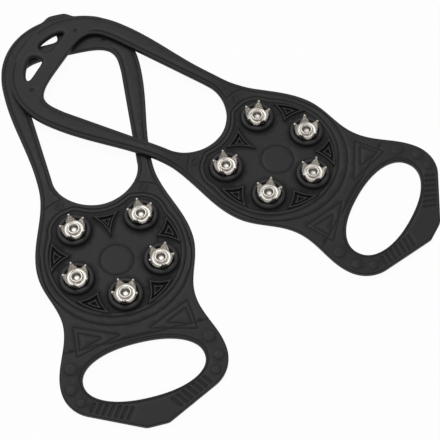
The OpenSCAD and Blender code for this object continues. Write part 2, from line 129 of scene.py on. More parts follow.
# %% A socket that can be used in sums
class Wire:
    """A shader socket. Sums of wires and numbers add Math nodes to the same material."""

    def __init__(self, tree, socket=None):
        self.tree, self.socket = tree, socket

    def make(self, kind, out=0, settings=(), **sockets):
        """Adds a node and gives one of its outputs. In a socket's name _ is a space and i1 is input 1."""
        node = self.tree.nodes.new(kind)
        for name, value in dict(settings).items():
            setattr(node, name, value)
        for name, value in sockets.items():
            key = int(name[1:]) if name[0] == "i" and name[1:].isdigit() else name.replace("_", " ")
            if isinstance(value, Wire):
                self.tree.links.new(value.socket, node.inputs[key])
            else:
                node.inputs[key].default_value = value
        return Wire(self.tree, node.outputs[out])

    def maths(self, operation, a, b):
        """Adds a Math node that joins two wires or numbers."""
        return self.make("ShaderNodeMath", settings={"operation": operation}, i0=a, i1=b)

    def __add__(self, other):
        return self.maths("ADD", self, other)

    def __sub__(self, other):
        return self.maths("SUBTRACT", self, other)

    def __rsub__(self, other):
        return self.maths("SUBTRACT", other, self)

    def __mul__(self, other):
        return self.maths("MULTIPLY", self, other)

    __radd__, __rmul__ = __add__, __mul__


def finish(name, **constants):
    """A new material: a wire to start from, its surface shader and the material itself."""
    material = bpy.data.materials.new(name)
    material.use_nodes = True
    shader = material.node_tree.nodes["Principled BSDF"]
    for socket, value in constants.items():
        shader.inputs[socket.replace("_", " ")].default_value = value
    return Wire(material.node_tree), shader, material


def feed(wire, shader, **sockets):
    """Links varying values to the surface shader's sockets."""
    for socket, value in sockets.items():
        wire.tree.links.new(value.socket, shader.inputs[socket.replace("_", " ")])


print("Wire is ready")

# %% [markdown]
# ## Black rubber
#
# Moulded rubber is never one flat black. The mould leaves a fine, dull grain, and a pale bloom comes out
# on it in clouds. Its colour also carries painted light and shade: the pale film is painted only where the
# surface looks up, as painted light from above, painted shade darkens the grooves, and the proud edges
# are paler and rubbed glossier. An image could hold that, but noise has no seams and no edge, so noises at
# three sizes give the grain, the clouds and wider smears. The mesh carries three masks, made with its
# shape further down: `proud` on raised edges, `sunk` in grooves, and a third where the surface looks up.

# %% The rubber finish
GRAIN_SIZE, CLOUD_SIZE, SMEAR_SIZE = 0.35, 9, 30
# The pale grey is painted light from above on the bloom, and the groove share is painted shade.
BLACK, BLOOM_AND_TOP_LIGHT_GREY, RAISED_EDGE_GREY, GROOVE_SHADE = 0.0040, 0.0122, 0.010, 0.75
BLOOM_SHARE, CLOUD_SHARE, SMEAR_SHARE, GRAIN_SHARE = 0.80, 0.7, 0.4, 0.3
DULLNESS, CLOUD_DULL, GRAIN_DULL, RUBBED_SHINE, GROOVE_DULL = 0.55, 0.14, 0.10, 0.08, 0.15
WARMTH, CLOUD_HEIGHT, SKIN_STRENGTH, SKIN_DEEP = 0.99, 0.5, 0.18, 0.05


def noise(wire, at, size, detail=2.0, rough=0.5):
    """Soft noise whose patches are about this many millimetres across."""
    return wire.make("ShaderNodeTexNoise", Vector=at, Scale=1 / (size * MM), Detail=detail, Roughness=rough)


def swing(noise, amount):
    """The noise as a change to some value, up or down by half the amount at most."""
    return amount * (noise - 0.5)


def mask(wire, name):
    """A mask that the mesh carries."""
    return wire.make("ShaderNodeAttribute", out="Fac", settings={"attribute_name": name})


wire, shader, RUBBER = finish("rubber", Specular_IOR_Level=0.32)
at = wire.make("ShaderNodeTexCoord", out="Object")
grain = noise(wire, at, GRAIN_SIZE, 3)
clouds = noise(wire, at, CLOUD_SIZE, 3)
smears = noise(wire, at, SMEAR_SIZE, 2)
proud, sunk, top_light = (mask(wire, name) for name in ("proud", "sunk", "top_light"))
cover = BLOOM_SHARE + swing(clouds, CLOUD_SHARE) + swing(smears, SMEAR_SHARE) + swing(grain, GRAIN_SHARE)
# Painted light from above: the pale film shows only where the surface looks up.
bloom_and_top_light = top_light * cover
# Painted shade darkens the grooves, and the proud edges come out paler.
tone = BLACK + BLOOM_AND_TOP_LIGHT_GREY * bloom_and_top_light * (1 - GROOVE_SHADE * sunk) + RAISED_EDGE_GREY * proud
grey = wire.make("ShaderNodeCombineColor", Red=tone, Green=tone, Blue=tone * WARMTH)
dull = DULLNESS + swing(clouds, CLOUD_DULL) + swing(grain, GRAIN_DULL)
dull = dull - RUBBED_SHINE * proud + GROOVE_DULL * sunk
bumps = grain + CLOUD_HEIGHT * clouds
skin = wire.make("ShaderNodeBump", Height=bumps, Strength=SKIN_STRENGTH, Distance=SKIN_DEEP * MM)
feed(wire, shader, Base_Color=grey, Roughness=dull, Normal=skin)
print("rubber nodes:", len(wire.tree.nodes))

# %% [markdown]
# ## Plated steel
#
# The crowns are stamped from sheet steel and then tumbled and plated, so they are bright but not
# mirrors: fine scratches run across them, and the plating is a little warm. Low down, near the rubber,
# the steel is rougher and carries painted shade. The rivets are of softer steel, a shade greyer, with
# painted shade on the walls of their hollows and a painted pool of light on their floors. The scratches
# could come from an image, but the steel would have to be laid out flat for it. A noise that is drawn out
# along one axis needs no such layout. One function makes both finishes, and a mask on each mesh says
# where its steel keeps its bright colour and where painted shade darkens it.

# %% The steel finishes
PIT_SIZE, STAIN_SIZE, STAIN = 0.22, 1.6, 0.14
STAIN_DULL, SCRATCH_DULL, LOW_DULL = 0.14, 0.08, 0.08
SCRATCHES, SCRATCH_HEIGHT, PIT_STRENGTH, PIT_DEEP = (9000, 700, 9000), 0.6, 0.06, 0.03


def plated(name, colour, rough, dull, shade_tone):
    """Plated steel. The dull share is how much painted shade shows where the steel isn't bright, and the last
    argument sets how dark that painted shade is.
    """
    wire, shader, material = finish(name, Metallic=1.0)
    at = wire.make("ShaderNodeTexCoord", out="Object")
    pits = noise(wire, at, PIT_SIZE, 4, 0.6)
    stain = noise(wire, at, STAIN_SIZE, 3)
    drawn_out = wire.make("ShaderNodeMapping", Vector=at, Scale=SCRATCHES)
    scratch = wire.make("ShaderNodeTexNoise", Vector=drawn_out, Scale=1.0, Detail=2.0)
    # Where this mask is low, the steel gets painted shade: a darker copy of its colour.
    bright = mask(wire, "proud")
    base = wire.make(
        "ShaderNodeMix", out="Result", settings={"data_type": "RGBA"},
        i0=STAIN * stain + dull * (1 - bright), i6=(*colour, 1), i7=(*(c * shade_tone for c in colour), 1),
    )
    gloss = rough + swing(stain, STAIN_DULL) + swing(scratch, SCRATCH_DULL) + LOW_DULL * (1 - bright)
    bumps = pits + SCRATCH_HEIGHT * scratch
    skin = wire.make("ShaderNodeBump", Height=bumps, Strength=PIT_STRENGTH, Distance=PIT_DEEP * MM)
    feed(wire, shader, Base_Color=base, Roughness=gloss, Normal=skin)
    print(name, "nodes:", len(wire.tree.nodes))
    return material


CROWN_STEEL = plated("crown_steel", (0.83, 0.795, 0.735), 0.36, dull=0.22, shade_tone=0.35)
RIVET_STEEL = plated("rivet_steel", (0.66, 0.63, 0.58), 0.34, dull=0.7, shade_tone=0.3)

# %% [markdown]
# ## Lines to draw the rubber with
#
# The moulding is a flat figure with holes and with fine lines moulded into it. It could be traced with
# curve objects, but their points would have to be read back for the mesh. Here a line is a plain array of
# points, in millimetres, and a few helpers space its points evenly, move it sideways, mirror it and
# measure how far any point is from it.


# %% Lines
def even_steps(line, step, fewest=8):
    """The same closed line with its points an even step apart."""
    line = np.vstack([line, line[:1]])
    run = np.r_[0, np.cumsum(np.hypot(*np.diff(line, axis=0).T))]
    spots = np.linspace(0, run[-1], max(fewest, round(run[-1] / step)) + 1)[:-1]
    return np.c_[np.interp(spots, run, line[:, 0]), np.interp(spots, run, line[:, 1])]


def shifted(line, d):
    """A counter-clockwise closed line moved inwards by d, or outwards where d is below zero."""
    along = np.roll(line, -1, 0) - np.roll(line, 1, 0)
    along /= np.linalg.norm(along, axis=1)[:, None]
    return line + d * np.c_[-along[:, 1], along[:, 0]]


def ring(x, y, r, step=0.9, fewest=16):
    """A circle."""
    t = np.linspace(0, 2 * np.pi, max(fewest, round(2 * np.pi * r / step)), endpoint=False)
    return np.c_[x + r * np.cos(t), y + r * np.sin(t)]


def mirrored(line):
    """The same closed line on the other side of the middle, still counter-clockwise."""
    return (line * (-1, 1))[::-1]


sample = ring(0, 0, 9)
print("a ring of 9 has", len(sample), "points")


# %% Distances
def search_tree(points):
    """A tree that finds the nearest of these flat points."""
    tree = KDTree(len(points))
    for i, (x, y) in enumerate(points):
        tree.insert((x, y, 0), i)
    tree.balance()
    return tree


def gap_to(points, line):
    """Signed distance from each point to a closed counter-clockwise line: below zero inside it."""
    tree = search_tree(line.tolist())
    closest = np.fromiter((tree.find((x, y, 0))[1] for x, y in points.tolist()), int, len(points))
    along = np.roll(line, -1, 0) - line
    inward = np.c_[-along[:, 1], along[:, 0]] / np.linalg.norm(along, axis=1)[:, None]
    corner = inward + np.roll(inward, 1, 0)
    gaps = np.full(len(points), np.inf)
    for k in (closest - 1, closest):
        t = np.clip(((points - line[k]) * along[k]).sum(1) / (along[k] ** 2).sum(1), 0, 1)[:, None]
        off = points - line[k] - t * along[k]
        normal = np.where(t <= 0, corner[k], np.where(t >= 1, corner[(k + 1) % len(line)], inward[k]))
        gap = -np.copysign(np.hypot(*off.T), (off * normal).sum(1))
        gaps = np.where(np.abs(gap) < np.abs(gaps), gap, gaps)
    return gaps


print("its middle is", gap_to(np.zeros((1, 2)), sample).round(2), "from it")

# %% [markdown]
# ## The outer edge
#
# The sides swing in and out between a few widest and narrowest places, so a cosine between those places
# draws them. The toe has round corners and straight slopes that meet a blunt tip. The heel end is a
# superellipse, squarer than an ellipse, with a small pull tab that stands out of it. Drawing the edge
# from the few sizes that a mould maker would give keeps it smooth at any scale.

# %% Draw the outer edge
SIDES = [(-66.7, 44.7), (-31.0, 36.3), (3.0, 43.8), (54.0, 32.9), (126.0, 41.0)]
TOE_CORNER, TOE_SLOPE, TOE_TIP, TIP_CORNER = 19.4, math.radians(26.3), -97.9, 5.0
HEEL_TIP, HEEL_SQUARE, TAB_OUT, TAB_FOOT, TAB_HEAD = 169.5, 2.15, 3.2, 11.5, 4.0
ARC_POINTS, SIDE_POINTS, END_POINTS = 24, 240, 60


def ease(a, b, u):
    """From a to b along half a wave, as u goes from 0 to 1."""
    return a + (b - a) * (1 - np.cos(np.pi * u)) / 2


def rounded_corner(p, a, b, r, n=8):
    """Points that round the corner p between a and b."""
    u, v = (np.subtract(q, p) / np.linalg.norm(np.subtract(q, p)) for q in (a, b))
    half = math.acos(float(u @ v)) / 2
    centre = np.add(p, (u + v) / np.linalg.norm(u + v) * r / math.sin(half))
    arc = [p + (u * (1 - s) + v * s) * r / math.tan(half) for s in np.linspace(0, 1, n)]
    return np.array([centre + r * (q - centre) / np.linalg.norm(q - centre) for q in arc])


def bulge(a, b, square, t):
    """A superellipse: an ellipse whose corners are pushed out as square grows past 2."""
    c, s = np.cos(t), np.sin(t)
    return np.c_[a * np.sign(c) * np.abs(c) ** (2 / square), b * np.sign(s) * np.abs(s) ** (2 / square)]


def outer_edge(tab_out):
    """The whole outer edge, counter-clockwise, with a heel tab that stands out this far."""
    (toe_y, toe_half), (heel_y, heel_half) = SIDES[0], SIDES[-1]
    turn = np.linspace(TOE_SLOPE - np.pi / 2, 0, ARC_POINTS)
    corner = (toe_half - TOE_CORNER, toe_y) + TOE_CORNER * np.c_[np.cos(turn), np.sin(turn)]
    tip = np.array([corner[0, 0] - (corner[0, 1] - TOE_TIP) / math.tan(TOE_SLOPE), TOE_TIP])
    y = np.linspace(toe_y, heel_y, SIDE_POINTS)[1:-1]
    half = np.empty_like(y)
    for (y0, w0), (y1, w1) in zip(SIDES, SIDES[1:]):
        part = (y >= y0) & (y <= y1)
        half[part] = ease(w0, w1, (y[part] - y0) / (y1 - y0))
    quarter = np.linspace(0, np.pi / 2, END_POINTS)
    end = (0, heel_y) + bulge(heel_half, HEEL_TIP - heel_y, HEEL_SQUARE, quarter)
    lip = np.clip((TAB_FOOT - end[:, 0]) / (TAB_FOOT - TAB_HEAD), 0, 1)
    end[:, 1] += tab_out * lip * lip * (3 - 2 * lip)
    blunt = rounded_corner(tip, (0, TOE_TIP), corner[0], TIP_CORNER)
    right = np.vstack([[[0, TOE_TIP]], blunt, corner, np.c_[half, y], end])
    return even_steps(np.vstack([right, mirrored(right)[:-1]]), 1.0)


OUTER = outer_edge(TAB_OUT)
print("outer edge:", len(OUTER), "points,", np.ptp(OUTER, axis=0).round(1), "mm")

# %% [markdown]
# ## The holes
#
# The shoe goes through the toe hole and the long heel hole. Both come from superellipses: the toe hole is
# a whole one, and the heel hole joins the near half of one to the far, squarer half of another. The two
# drops at the heel end have no such formula, so a smooth curve runs through a few points of one of them,
# and the other is its mirror image.

# %% Draw the holes
TOE_HOLE_Y, TOE_HOLE_HALF, TOE_HOLE_SQUARE = -66.4, (32.7, 16.1), 2.2
NEAR_END_Y, NEAR_END_HALF, NEAR_END_SQUARE = 58.2, (24.6, 22.0), 1.9
FAR_END_Y, FAR_END_HALF, FAR_END_SQUARE = 122.0, (29.1, 20.6), 4.0
DROP_POINTS = [
    (19.6, 153.0), (18.5, 154.9), (15.4, 157.2), (10.6, 159.3), (6.2, 160.3), (3.6, 159.4),
    (2.8, 156.4), (3.4, 153.7), (5.8, 152.5), (11.5, 152.2), (17.4, 152.1),
]
shares = np.linspace(0, 1, ARC_POINTS, endpoint=False)[:, None]


def through(points, step):
    """A smooth closed line through a few points."""
    p = np.array(points, float)
    line = []
    for a, b, c, d in zip(np.roll(p, 1, 0), p, np.roll(p, -1, 0), np.roll(p, -2, 0)):
        bend = a - 2.5 * b + 2 * c - d / 2
        twist = 1.5 * (b - c) + (d - a) / 2
        line.append(b + shares * (c - a) / 2 + shares ** 2 * bend + shares ** 3 * twist)
    return even_steps(np.vstack(line), step)


whole = np.linspace(0, 2 * np.pi, 360, endpoint=False)
TOE_HOLE = even_steps((0, TOE_HOLE_Y) + bulge(*TOE_HOLE_HALF, TOE_HOLE_SQUARE, whole), 0.9)
near_end = (0, NEAR_END_Y) + bulge(*NEAR_END_HALF, NEAR_END_SQUARE, np.linspace(-np.pi / 2, 0, 60))
far_end = (0, FAR_END_Y) + bulge(*FAR_END_HALF, FAR_END_SQUARE, np.linspace(0, np.pi / 2, 90))
half_heel = np.vstack([near_end, far_end])
HEEL_HOLE = even_steps(np.vstack([half_heel, mirrored(half_heel)[1:-1]]), 1.0)
DROP = through(DROP_POINTS, 0.5)
DROPS = [DROP, mirrored(DROP)]
HOLES = [TOE_HOLE, HEEL_HOLE, *DROPS]
print("holes:", [len(h) for h in HOLES])

# %% [markdown]
# ## The relief, one moulded mark at a time
#
# The upper face is not flat: the studs stand in a sunk round field, fins and lines decorate it and the
# straps have a raised middle. Each mark below is a small function that changes the height at given
# points, and a `rule` that draws the lines where that mark bends, so that the mesh gets edges exactly
# there. A grid fine enough for the thin lines would need far more faces.

# %% How a mark is made
marks, rules, open_rules = [], [], []
GROOVE_WIDE, GROOVE = 0.8, (-0.4, -0.18, 0, 0.18, 0.4)


def rule(line, *offsets):
    """Lines along which the mesh gets edges: the given closed line moved inwards by each offset."""
    rules.extend(shifted(line, d) for d in offsets)


def mark(change):
    """Adds a function of (points, height) to the relief."""
    marks.append(change)
    return change


def soft(d, width):
    """0 where d is well below zero and 1 well above it, in a soft step of this width."""
    t = np.clip(d / width + 0.5, 0, 1)
    return t * t * (3 - 2 * t)


def line_cut(d, width=GROOVE_WIDE):
    """A rounded groove of this width where d is near zero."""
    return 1 - soft(np.abs(d) - width / 4, width / 2)


def near(points, line, margin=3):
    """A mask of the points that lie close to a line's box."""
    lo, hi = line.min(0) - margin, line.max(0) + margin
    return np.all((points >= lo) & (points <= hi), axis=1)


def rim_gap(p):
    """Distance from each point to the nearest rim: above zero inside the rubber."""
    return np.minimum.reduce([-gap_to(p, OUTER)] + [gap_to(p, h) for h in HOLES])


print("a groove takes", len(GROOVE), "lines")

# %% [markdown]
# ## The rounded edge
#
# A mould leaves no sharp edge, and the light along a rounded one is what shows that rubber is thick. A
# Bevel modifier would round every fold of the relief too. So the lines where a rounded rim bends are
# drawn beside each rim, close together at the rim itself, and the heights there come later.

# %% Lines beside every rim
TOP_ROUND, TOP_STEPS = 0.6, (0, 0.06, 0.2, 0.42, 0.7, 1.0)
EDGES = [(OUTER, 1)] + [(hole, -1) for hole in HOLES]


def edge_lines(radius, steps):
    """Lines beside every rim, inside the rubber, at these shares of an edge's radius."""
    return [shifted(edge, way * radius * d) for edge, way in EDGES for d in steps]


rules += edge_lines(TOP_ROUND, TOP_STEPS)
print("edge lines:", len(rules))

# %% [markdown]
# ## The sunk field
#
# The studs stand in a round field half a millimetre lower than the pad. It swells round the two studs at
# its sides and gives way to the band along the heel hole. It could be joined from circles with a boolean.
# Here rays from its middle each end at the circle that counts, which gives one smooth line to step down
# along.

# %% The sunk field
FIELD_R, FIELD_Y, FIELD_DEEP, FIELD_STEP = 36.4, 4.4, 0.5, 0.7
FIELD_LINES = (-0.35, -0.15, 0, 0.15, 0.35)
SWELL_R, BAND_R = 12.6, 27.0
RAYS, SMOOTHINGS = 300, 3
sweep = np.linspace(0, 2 * np.pi, RAYS, endpoint=False)
ray = np.c_[np.cos(sweep), np.sin(sweep)]


def crossings(x, y, r):
    """How far along each ray a circle starts and ends, and which of the rays meet it."""
    to = np.array([x, y - FIELD_Y])
    along = ray @ to
    inside = along ** 2 - to @ to + r * r
    half = np.sqrt(np.maximum(inside, 0))
    return along - half, along + half, (inside > 0) & (along > 0)


reach = np.full(RAYS, FIELD_R)
for side in (-1, 1):
    _, leaves, meets = crossings(side * STUDS[1].x, STUDS[1].y, SWELL_R)
    reach = np.where(meets, np.maximum(reach, leaves), reach)
enters, _, meets = crossings(0, NEAR_END_Y, BAND_R)
reach = np.where(meets, np.minimum(reach, enters), reach)
for _ in range(SMOOTHINGS):
    reach = (np.roll(reach, 1) + 2 * reach + np.roll(reach, -1)) / 4
FIELD = even_steps((0, FIELD_Y) + ray * reach[:, None], 0.9)
rule(FIELD, *FIELD_LINES)


@mark
def sunk_field(p, z):
    return z - FIELD_DEEP * (1 - soft(gap_to(p, FIELD), FIELD_STEP))


print("field:", np.ptp(FIELD, axis=0).round(1), "mm")

# %% [markdown]
# ## The bosses
#
# Each crown sits in a thick ring of rubber that stands up from the field. It could be a spun mesh joined
# to the pad, which leaves a seam to clean up. As a height that depends only on the distance from its
# stud, it grows out of the pad in one skin. The profile is the line from the seat, over the crest and
# down to the field.

# %% The bosses and their seats
BOSS = np.array([
    (0, 4.2), (6.7, 4.2), (6.85, 4.27), (6.98, 4.5), (7.1, 4.85), (7.25, 5.06), (7.55, 5.16), (8.0, 5.2),
    (8.5, 5.17), (8.9, 5.06), (9.2, 4.85), (9.42, 4.5), (9.58, 3.9), (9.7, 3.1), (9.85, 2.75),
    (10.2, 2.58), (10.6, 2.5),
])
BOSS_CREST, BOSS_FOOT = 8.0, BOSS[-1, 0]
for stud in STUDS:
    rules.extend(ring(stud.x, stud.y, r) for r in BOSS[1:, 0])


@mark
def bosses(p, z):
    for stud in STUDS:
        r = np.hypot(p[:, 0] - stud.x, p[:, 1] - stud.y)
        raised = np.interp(r, BOSS[:, 0], BOSS[:, 1])
        z = np.where(r < BOSS_CREST, raised, np.where(r < BOSS_FOOT, np.maximum(z, raised), z))
    return z


print("boss rings:", len(BOSS) - 1)

# %% [markdown]
# ## The fins
#
# Five small three-sided fins with bowed sides stand between the bosses, each with a raised core in its
# middle. Modelling five by hand would mean five rims to keep alike. Here the distance from a fin's line
# sets the height, so one profile for the rim and one for the core serve them all.

# %% The fins
HEEL_FIN, HEEL_FIN_BOWS = [(-7.6, 29.4), (7.6, 29.4), (0, 13.9)], (-0.07, -0.09, -0.09)
SIDE_FIN, TOE_FIN = [(36.1, 0.9), (32.1, 19.2), (24.3, 8.3)], [(10.4, -30.6), (26.4, -19.4), (13.9, -16.8)]
FIN_BOWS, CORE_SHARE, CORE_LINES = (0.07, -0.085, -0.085), 0.44, 6
FIN_RIM = np.array([
    (-0.45, 0), (-0.15, 0.3), (0.05, 0.95), (0.25, 1.15),
    (0.75, 1.15), (0.95, 0.9), (1.15, -0.3), (1.35, -0.7),
])
FIN_CORE = np.array([(-0.3, 0), (-0.1, 0.9), (0.1, 1.3), (0.65, 1.3), (0.85, 0.9), (1.05, -0.1), (1.3, -0.3)])


def bowed(corners, bows):
    """A triangle whose sides bow out, or in where a bow is below zero, by that share of their length."""
    corners = np.array(corners, float)
    if np.cross(corners[1] - corners[0], corners[2] - corners[0]) < 0:
        corners, bows = corners[::-1], (bows[1], bows[0], bows[2])
    line = []
    for a, b, bow in zip(corners, np.roll(corners, -1, 0), bows):
        out = np.array([b[1] - a[1], a[0] - b[0]]) * bow
        line.append(a + (b - a) * shares + out * 4 * shares * (1 - shares))
    return even_steps(np.vstack(line), 0.5)


FINS = [bowed(HEEL_FIN, HEEL_FIN_BOWS)]
for corners in (SIDE_FIN, TOE_FIN):
    one = bowed(corners, FIN_BOWS)
    FINS += [one, mirrored(one)]
CORES = [fin.mean(0) + CORE_SHARE * (fin - fin.mean(0)) for fin in FINS]
for fin, core in zip(FINS, CORES):
    rule(fin, *FIN_RIM[:, 0])
    rule(core, *FIN_CORE[:CORE_LINES, 0])


@mark
def fins(p, z):
    for fin, core in zip(FINS, CORES):
        some = near(p, fin)
        z[some] += np.interp(-gap_to(p[some], fin), FIN_RIM[:, 0], FIN_RIM[:, 1])
        z[some] += np.interp(-gap_to(p[some], core), FIN_CORE[:, 0], FIN_CORE[:, 1])
    return z


print("fins:", len(FINS))

# %% [markdown]
# ## The ring lines
#
# Fine grooves run round the field, round its toe side once more, and in a circle at its middle. A bump in
# the material could draw them, but then they would not be in the mesh, so they are cut in.

# %% The ring lines round the field and the circle in its middle
CIRCLE_R, CIRCLE_DEEP = 9.3, 0.28
RING_IN, RING_DEEP = shifted(FIELD, -2.2), 0.42
RING_Y, RING_R, RING_TOP, RING_FADE, RING_SWEEP = 2.1, 41.3, 12, 8, (153, 388, 1.5)
rules.extend(ring(0, 0, CIRCLE_R + d) for d in GROOVE)
rule(RING_IN, *GROOVE)
lower = np.radians(np.arange(*RING_SWEEP))
toe_side = np.c_[np.cos(lower), np.sin(lower)]
open_rules.extend((0, RING_Y) + (RING_R + d) * toe_side for d in GROOVE)


@mark
def ring_lines(p, z):
    x, y = p.T
    z -= CIRCLE_DEEP * line_cut(np.hypot(x, y) - CIRCLE_R)
    z -= RING_DEEP * line_cut(gap_to(p, RING_IN))
    return z - RING_DEEP * soft(RING_TOP - y, RING_FADE) * line_cut(np.hypot(x, y - RING_Y) - RING_R)


print("lines for the rings:", 2 * len(GROOVE), "closed and", len(open_rules), "open")

# %% [markdown]
# ## The toe triangles
#
# Two triangles, one inside the other, are engraved on each side between the field and the toe hole. A
# boolean with thin bars would cut them with square corners. Here the three corners are enough: the line
# through them gets the same rounded groove that the rings have.

# %% The engraved toe triangles
BIG_TRIANGLE = [(31.4, -33.6), (7.6, -44.4), (32.6, -51.2)]
SMALL_TRIANGLE = [(29.6, -37.6), (17.6, -43.6), (30.4, -48.0)]
TRIANGLE_DEEP = 0.3
TRIANGLES = []
for corners in (BIG_TRIANGLE, SMALL_TRIANGLE):
    one = even_steps(np.array(corners), 0.8)
    TRIANGLES += [one, mirrored(one)]
for triangle in TRIANGLES:
    rule(triangle, *GROOVE)


@mark
def toe_triangles(p, z):
    for triangle in TRIANGLES:
        some = near(p, triangle)
        z[some] -= TRIANGLE_DEEP * line_cut(gap_to(p[some], triangle))
    return z


print("toe triangles:", len(TRIANGLES))

# %% [markdown]
# ## The toe loop
#
# A groove follows the rim of the toe hole, three low discs lie on each side of it, and the pull tab at
# the tip has slanted slots for the fingers. The slots could all be of one length, but the tab narrows, so
# each runs out until the edge is near.

# %% The rim of the toe hole, the discs and the grip slots
RIM_LINE, RIM_DEEP = 1.35, 0.28
DISCS = [(37.4, -57.0, 3.2), (39.6, -68.5, 2.8), (36.0, -76.8, 2.4)]
DISC_HIGH, DISC_STEP, DISC_LINES = 0.32, 0.7, (-0.35, -0.1, 0.1, 0.35)
SLOTS, SLOT_HALF, SLOT_CORNER, SLOT_DEEP, SLOT_STEP = 7, 0.75, 0.45, 0.4, 0.6
SLOT_START, SLOT_APART = np.array([28.8, -78.4]), np.array([-3.13, -1.2])
SLOT_WAY, SLOT_MARGIN = np.array([0.583, -0.812]), 1.5
SLOT_LENGTHS, SLOT_LINES = np.arange(7.6, 3, -0.1), (-0.3, 0, 0.3)


def grip_slot(i):
    """One slot of the grip, counted from the side towards the tip."""
    start = SLOT_START + SLOT_APART * i
    length = next(t for t in SLOT_LENGTHS if -gap_to((start + SLOT_WAY * t)[None], OUTER)[0] > SLOT_MARGIN)
    across = SLOT_HALF * np.array([-SLOT_WAY[1], SLOT_WAY[0]])
    far = start + SLOT_WAY * length
    box = [start - across, far - across, far + across, start + across]
    corners = [rounded_corner(box[k], box[k - 1], box[(k + 1) % 4], SLOT_CORNER, 4) for k in range(4)]
    return even_steps(np.vstack(corners), 0.6)


rule(TOE_HOLE, *(-RIM_LINE + d for d in GROOVE))
for x, y, r in DISCS:
    for side in (-1, 1):
        rules.extend(ring(side * x, y, r + d, 0.7) for d in DISC_LINES)
GRIP = [line for i in range(SLOTS) for line in (grip_slot(i), mirrored(grip_slot(i)))]
for slot in GRIP:
    rule(slot, *SLOT_LINES)


@mark
def toe_marks(p, z):
    z -= RIM_DEEP * line_cut(gap_to(p, TOE_HOLE) - RIM_LINE)
    for x, y, r in DISCS:
        z += DISC_HIGH * (1 - soft(np.hypot(np.abs(p[:, 0]) - x, p[:, 1] - y) - r, DISC_STEP))
    for slot in GRIP:
        some = near(p, slot)
        z[some] -= SLOT_DEEP * (1 - soft(gap_to(p[some], slot), SLOT_STEP))
    return z


print("discs:", 2 * len(DISCS), "grip slots:", len(GRIP))

# %% [markdown]
# ## The strap roots
#
# Where each strap leaves the pad there is a small raised ring, an arc round the nearest stud and a short
# tick. A Mirror modifier could copy them from one side to the other. Here the heights depend on the
# distance from the middle line, so both sides come out alike without one.

# %% The strap roots
ROOT_SPOT, ROOT_HIGH, ROOT_LINES = (23.9, 40.6), 0.3, (1.25, 1.6, 1.95, 2.3, 2.6, 2.9)
ROOT_INNER, INNER_STEP, ROOT_OUTER, OUTER_STEP = 1.6, 0.7, 2.4, 0.6
ARC_R, ARC_DEEP, ARC_SWEEP, ARC_CLEAR = 21.8, 0.3, (30, 120, 2.4), 0.8
ARC_START, START_FADE, ARC_RIM, RIM_FADE = 37, 2, 2.6, 1.2
TICK, TICK_WIDE, TICK_DEEP = np.array([(22.6, 49.3), (28.4, 47.9)]), 1.0, 0.25
turn = np.radians(np.arange(*ARC_SWEEP))
round_stud = np.c_[np.cos(turn), np.sin(turn)]
for side in (-1, 1):
    rules.extend(ring(side * ROOT_SPOT[0], ROOT_SPOT[1], r, 0.6) for r in ROOT_LINES)
    for d in GROOVE:
        arc = round_stud * (ARC_R + d) + (STUDS[1].x, STUDS[1].y)
        arc = arc[(arc[:, 1] > ARC_START + 1) & (rim_gap(arc) > ARC_CLEAR)]
        open_rules.append(arc * (side, 1))


@mark
def root_marks(p, z):
    x, y = np.abs(p[:, 0]), p[:, 1]
    r = np.hypot(x - ROOT_SPOT[0], y - ROOT_SPOT[1])
    z += ROOT_HIGH * (soft(r - ROOT_INNER, INNER_STEP) - soft(r - ROOT_OUTER, OUTER_STEP))
    rim = np.minimum(-gap_to(p, OUTER), gap_to(p, HEEL_HOLE))
    arc = np.hypot(x - STUDS[1].x, y - STUDS[1].y) - ARC_R
    z -= ARC_DEEP * line_cut(arc) * soft(rim - ARC_RIM, RIM_FADE) * soft(y - ARC_START, START_FADE)
    way, off = TICK[1] - TICK[0], np.c_[x, y] - TICK[0]
    along = np.clip(off @ way / np.sum(way ** 2), 0, 1)
    tick = np.hypot(*(off - along[:, None] * way).T)
    return z - TICK_DEEP * line_cut(tick, TICK_WIDE)


print("marks so far:", len(marks))

# %% [markdown]
# ## The straps
#
# The straps have a raised middle between two lower shoulders, with a groove where they meet. Sculpting
# could give such soft forms, but hardly at an even distance from an edge. Here that distance sets the
# height, so the shoulders follow the straps wherever they run.

# %% The shoulders of the straps
SHOULDER, SHOULDER_DEEP, SHOULDER_STEP, LINE_DEEP = 2.2, 0.4, 0.6, 0.25
SHOULDER_START, OUTER_START, LONG_FADE = 46, 6, 8
SHOULDER_END, INNER_START, SHORT_FADE = 139.0, 44, 5
TAB_CLEAR, CLEAR_FADE = 12, 4
for edge, way in ((OUTER, 1), (HEEL_HOLE, -1)):
    rule(edge, *(way * (SHOULDER + d) for d in GROOVE))


@mark
def strap_marks(p, z):
    x, y = np.abs(p[:, 0]), p[:, 1]
    outer, inner = -gap_to(p, OUTER), gap_to(p, HEEL_HOLE)
    on_strap = soft(SHOULDER_END - y, SHORT_FADE)
    low = 1 - soft(np.minimum(outer, inner) - SHOULDER, SHOULDER_STEP)
    z -= SHOULDER_DEEP * low * soft(y - SHOULDER_START, LONG_FADE) * on_strap
    off_tab = soft(x - TAB_CLEAR, CLEAR_FADE)
    z -= LINE_DEEP * line_cut(outer - SHOULDER) * soft(y - OUTER_START, LONG_FADE) * off_tab
    return z - LINE_DEEP * line_cut(inner - SHOULDER) * soft(y - INNER_START, SHORT_FADE) * on_strap


print("lines for the shoulders:", 2 * len(GROOVE))

# %% [markdown]
# ## The heel end
#
# The heel end has two dimples, a dished edge round each drop, and a pull tab that is thinner than the rest.
# A tab of its own could be joined on, but a seam would show. Its step is one more change of height, along
# the edge that the heel would have without a tab.

